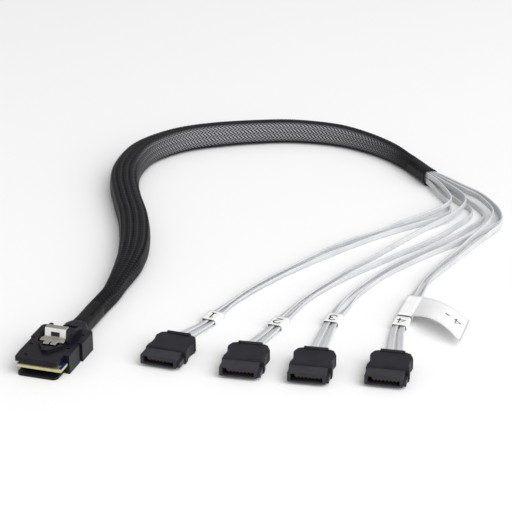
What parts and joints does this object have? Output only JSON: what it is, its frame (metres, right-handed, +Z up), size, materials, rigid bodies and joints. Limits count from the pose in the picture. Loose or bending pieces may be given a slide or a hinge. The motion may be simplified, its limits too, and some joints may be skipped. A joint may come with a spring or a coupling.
{
  "type": "mini sas breakout cable",
  "caption": "Breakout cable: a latched internal mini SAS plug, a braided sleeve and flat ribbons that end in SATA plugs.",
  "frame": {"origin": "on the table under the middle of the plugs' common box, cords left out", "axes": "+X along the row of plugs, away from the large plug; +Y towards the loop of the cable; +Z up"},
  "size_m": [0.1857, 0.2494, 0.0117],
  "materials": {
    "plug_plastic": "black moulded, satin",
    "grip_plastic": "charcoal, fine grain",
    "nose_plastic": "dark grey, satin",
    "card": "bare board edge, blue mask",
    "latch_steel": "bright stamped steel",
    "shrink": "black heat-shrink, satin",
    "braid": "black plastic braid",
    "ribbon": "white, slightly silvery",
    "band": "white tape with a numeral",
    "paper": "bare white paper",
    "contact_gold": "gold plated"
  },
  "bodies": {
    "cable": {"plug_housing": "plug_plastic", "plug_tongue": "plug_plastic", "paddle_card": "card", "strain_relief": "grip_plastic", "boot_shrink": "shrink", "braided_sleeve": "braid", "breakout_shrink": "shrink", "ribbon_1a": "ribbon", "ribbon_1b": "ribbon", "ribbon_2a": "ribbon", "ribbon_2b": "ribbon", "ribbon_3a": "ribbon", "ribbon_3b": "ribbon", "ribbon_4a": "ribbon", "ribbon_4b": "ribbon", "marker_band_1": "band", "marker_band_2": "band", "marker_band_3": "band", "marker_band_4": "band", "flag_label": "paper", "sata_housing_1": "nose_plastic", "sata_housing_2": "nose_plastic", "sata_housing_3": "nose_plastic", "sata_housing_4": "nose_plastic", "sata_overmould_1": "grip_plastic", "sata_overmould_2": "grip_plastic", "sata_overmould_3": "grip_plastic", "sata_overmould_4": "grip_plastic", "sata_contact_1_1": "contact_gold", "sata_contact_1_2": "contact_gold", "sata_contact_1_3": "contact_gold", "sata_contact_1_4": "contact_gold", "sata_contact_1_5": "contact_gold", "sata_contact_1_6": "contact_gold", "sata_contact_1_7": "contact_gold", "sata_contact_2_1": "contact_gold", "sata_contact_2_2": "contact_gold", "sata_contact_2_3": "contact_gold", "sata_contact_2_4": "contact_gold", "sata_contact_2_5": "contact_gold", "sata_contact_2_6": "contact_gold", "sata_contact_2_7": "contact_gold", "sata_contact_3_1": "contact_gold", "sata_contact_3_2": "contact_gold", "sata_contact_3_3": "contact_gold", "sata_contact_3_4": "contact_gold", "sata_contact_3_5": "contact_gold", "sata_contact_3_6": "contact_gold", "sata_contact_3_7": "contact_gold", "sata_contact_4_1": "contact_gold", "sata_contact_4_2": "contact_gold", "sata_contact_4_3": "contact_gold", "sata_contact_4_4": "contact_gold", "sata_contact_4_5": "contact_gold", "sata_contact_4_6": "contact_gold", "sata_contact_4_7": "contact_gold"},
    "latch": {"latch_plate": "latch_steel"}
  },
  "joints": [
    {"name": "latch_press", "type": "hinge", "parent": "cable", "child": "latch", "pos_m": [-0.05594, 0.00129, 0.0085], "axis": [0.9537, -0.3007, 0], "range_deg": [0, 8], "stiffness_Nm_per_rad": 0.02, "springref_deg": -2.29}
  ]
}
